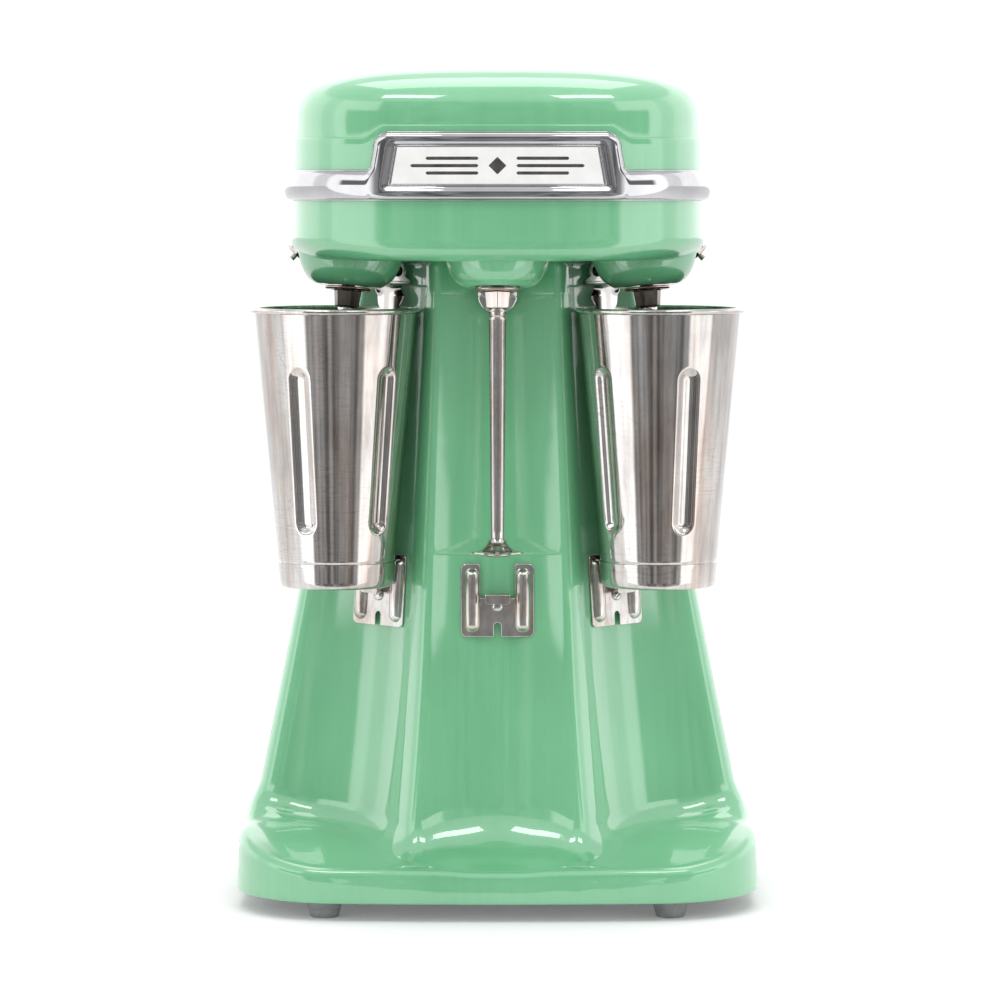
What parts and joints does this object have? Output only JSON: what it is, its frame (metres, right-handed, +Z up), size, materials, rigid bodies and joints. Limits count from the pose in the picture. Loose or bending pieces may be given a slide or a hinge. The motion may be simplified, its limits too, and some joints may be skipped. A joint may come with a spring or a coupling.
{
  "type": "milkshake mixer",
  "caption": "Bar mixer with stirring spindles round a flared pedestal, motors in a rounded head, and tapered cups hung on bracket stations.",
  "frame": {"origin": "centre of the base's plan on the plane of the feet", "axes": "+Z up, -Y towards the front (the empty middle station), +X to the right of somebody facing the front"},
  "size_m": [0.3173, 0.273, 0.5095],
  "materials": {
    "bearing_steel": "ground",
    "bracket_steel": "stamped",
    "bridge_cast": "cast",
    "carbon": "matte",
    "chrome_trim": "polished",
    "copper_winding": "enamelled wire",
    "core_steel": "laminated",
    "cup_steel": "brushed, worn",
    "fan_aluminium": "pressed",
    "jade_enamel": "gloss",
    "ornament_dark": "satin",
    "phenolic": "moulded",
    "plate_galvanised": "sheet",
    "plate_white": "satin",
    "rubber_black": "matte",
    "rubber_grey": "matte",
    "screw_bright": "zinc plated",
    "screw_dark": "blackened",
    "slinger_bronze": "dull",
    "spindle_steel": "ground",
    "toggle_nickel": "nickel plated"
  },
  "bodies": {
    "mixer": {"pedestal": "jade_enamel", "base_plate": "plate_galvanised", "rubber_feet": "rubber_grey", "foot_screws": "screw_bright", "motor_housing": "jade_enamel", "top_cover": "jade_enamel", "trim_band": "chrome_trim", "nameplate": "plate_white", "nameplate_ornament": "ornament_dark", "head_bolts": "screw_bright", "cover_bolts": "screw_bright", "stator_cores": "core_steel", "field_coils": "copper_winding", "lower_bearings": "bearing_steel", "upper_bearings": "bearing_steel", "bearing_bridges": "bridge_cast", "bridge_bolts": "screw_bright", "brush_holders": "phenolic", "carbon_brushes": "carbon", "toggle_switches": "phenolic", "toggle_nuts": "toggle_nickel", "upper_bracket_screws": "screw_dark", "lower_bracket_screws": "screw_bright", "cup_switches": "phenolic", "cord_grommet": "rubber_black", "power_cord": "rubber_black", "power_plug": "rubber_black", "upper_cup_bracket_left": "bracket_steel", "lower_cup_bracket_left": "bracket_steel", "upper_cup_bracket_center": "bracket_steel", "lower_cup_bracket_center": "bracket_steel", "upper_cup_bracket_right": "bracket_steel", "lower_cup_bracket_right": "bracket_steel"},
    "spindle_left": {"armature_left": "core_steel", "fan_left": "fan_aluminium", "slinger_left": "slinger_bronze", "spindle_coupling_left": "spindle_steel", "spindle_rod_left": "spindle_steel", "agitator_left": "spindle_steel"},
    "spindle_center": {"armature_center": "core_steel", "fan_center": "fan_aluminium", "slinger_center": "slinger_bronze", "spindle_coupling_center": "spindle_steel", "spindle_rod_center": "spindle_steel", "agitator_center": "spindle_steel"},
    "spindle_right": {"armature_right": "core_steel", "fan_right": "fan_aluminium", "slinger_right": "slinger_bronze", "spindle_coupling_right": "spindle_steel", "spindle_rod_right": "spindle_steel", "agitator_right": "spindle_steel"},
    "plunger_left": {"switch_plunger_left": "screw_bright"},
    "plunger_center": {"switch_plunger_center": "screw_bright"},
    "plunger_right": {"switch_plunger_right": "screw_bright"},
    "toggle_left": {"toggle_lever_left": "toggle_nickel"},
    "toggle_center": {"toggle_lever_center": "toggle_nickel"},
    "toggle_right": {"toggle_lever_right": "toggle_nickel"},
    "cup_left": {"cup_left": "cup_steel"},
    "cup_right": {"cup_right": "cup_steel"}
  },
  "joints": [
    {"name": "spin_left", "type": "hinge", "parent": "mixer", "child": "spindle_left", "pos_m": [-0.0898, -0.0578, 0.376], "axis": [0.0764, 0.0764, 0.9942], "continuous": true},
    {"name": "spin_center", "type": "hinge", "parent": "mixer", "child": "spindle_center", "pos_m": [0, -0.095, 0.376], "axis": [0, 0.108, 0.9942], "continuous": true},
    {"name": "spin_right", "type": "hinge", "parent": "mixer", "child": "spindle_right", "pos_m": [0.0898, -0.0578, 0.376], "axis": [-0.0764, 0.0764, 0.9942], "continuous": true},
    {"name": "press_left", "type": "slide", "parent": "mixer", "child": "plunger_left", "axis": [-0.7071, -0.7071, 0], "range_m": [0, 0.0009]},
    {"name": "press_center", "type": "slide", "parent": "mixer", "child": "plunger_center", "axis": [0, 1, 0], "range_m": [0, 0.003], "stiffness_N_per_m": 300, "springref_m": -0.002},
    {"name": "press_right", "type": "slide", "parent": "mixer", "child": "plunger_right", "axis": [0.7071, -0.7071, 0], "range_m": [0, 0.0009]},
    {"name": "flip_left", "type": "hinge", "parent": "mixer", "child": "toggle_left", "pos_m": [-0.12003, -0.017, 0.39758], "axis": [0, -1, 0], "range_deg": [-12, 12]},
    {"name": "flip_center", "type": "hinge", "parent": "mixer", "child": "toggle_center", "pos_m": [0, 0.09242, 0.39758], "axis": [-1, 0, 0], "range_deg": [-12, 12]},
    {"name": "flip_right", "type": "hinge", "parent": "mixer", "child": "toggle_right", "pos_m": [0.12003, -0.017, 0.39758], "axis": [0, 1, 0], "range_deg": [-12, 12]},
    {"name": "tilt_left", "type": "hinge", "parent": "mixer", "child": "cup_left", "pos_m": [-0.06102, -0.02902, 0.3635], "axis": [-0.7071, 0.7071, 0], "range_deg": [0, 8]},
    {"name": "tilt_right", "type": "hinge", "parent": "mixer", "child": "cup_right", "pos_m": [0.06102, -0.02902, 0.3635], "axis": [-0.7071, -0.7071, 0], "range_deg": [0, 8]}
  ],
  "couplings": [
    {"joint": "press_left", "follows": "tilt_left", "m_per_rad": 0.006},
    {"joint": "press_right", "follows": "tilt_right", "m_per_rad": 0.006}
  ]
}
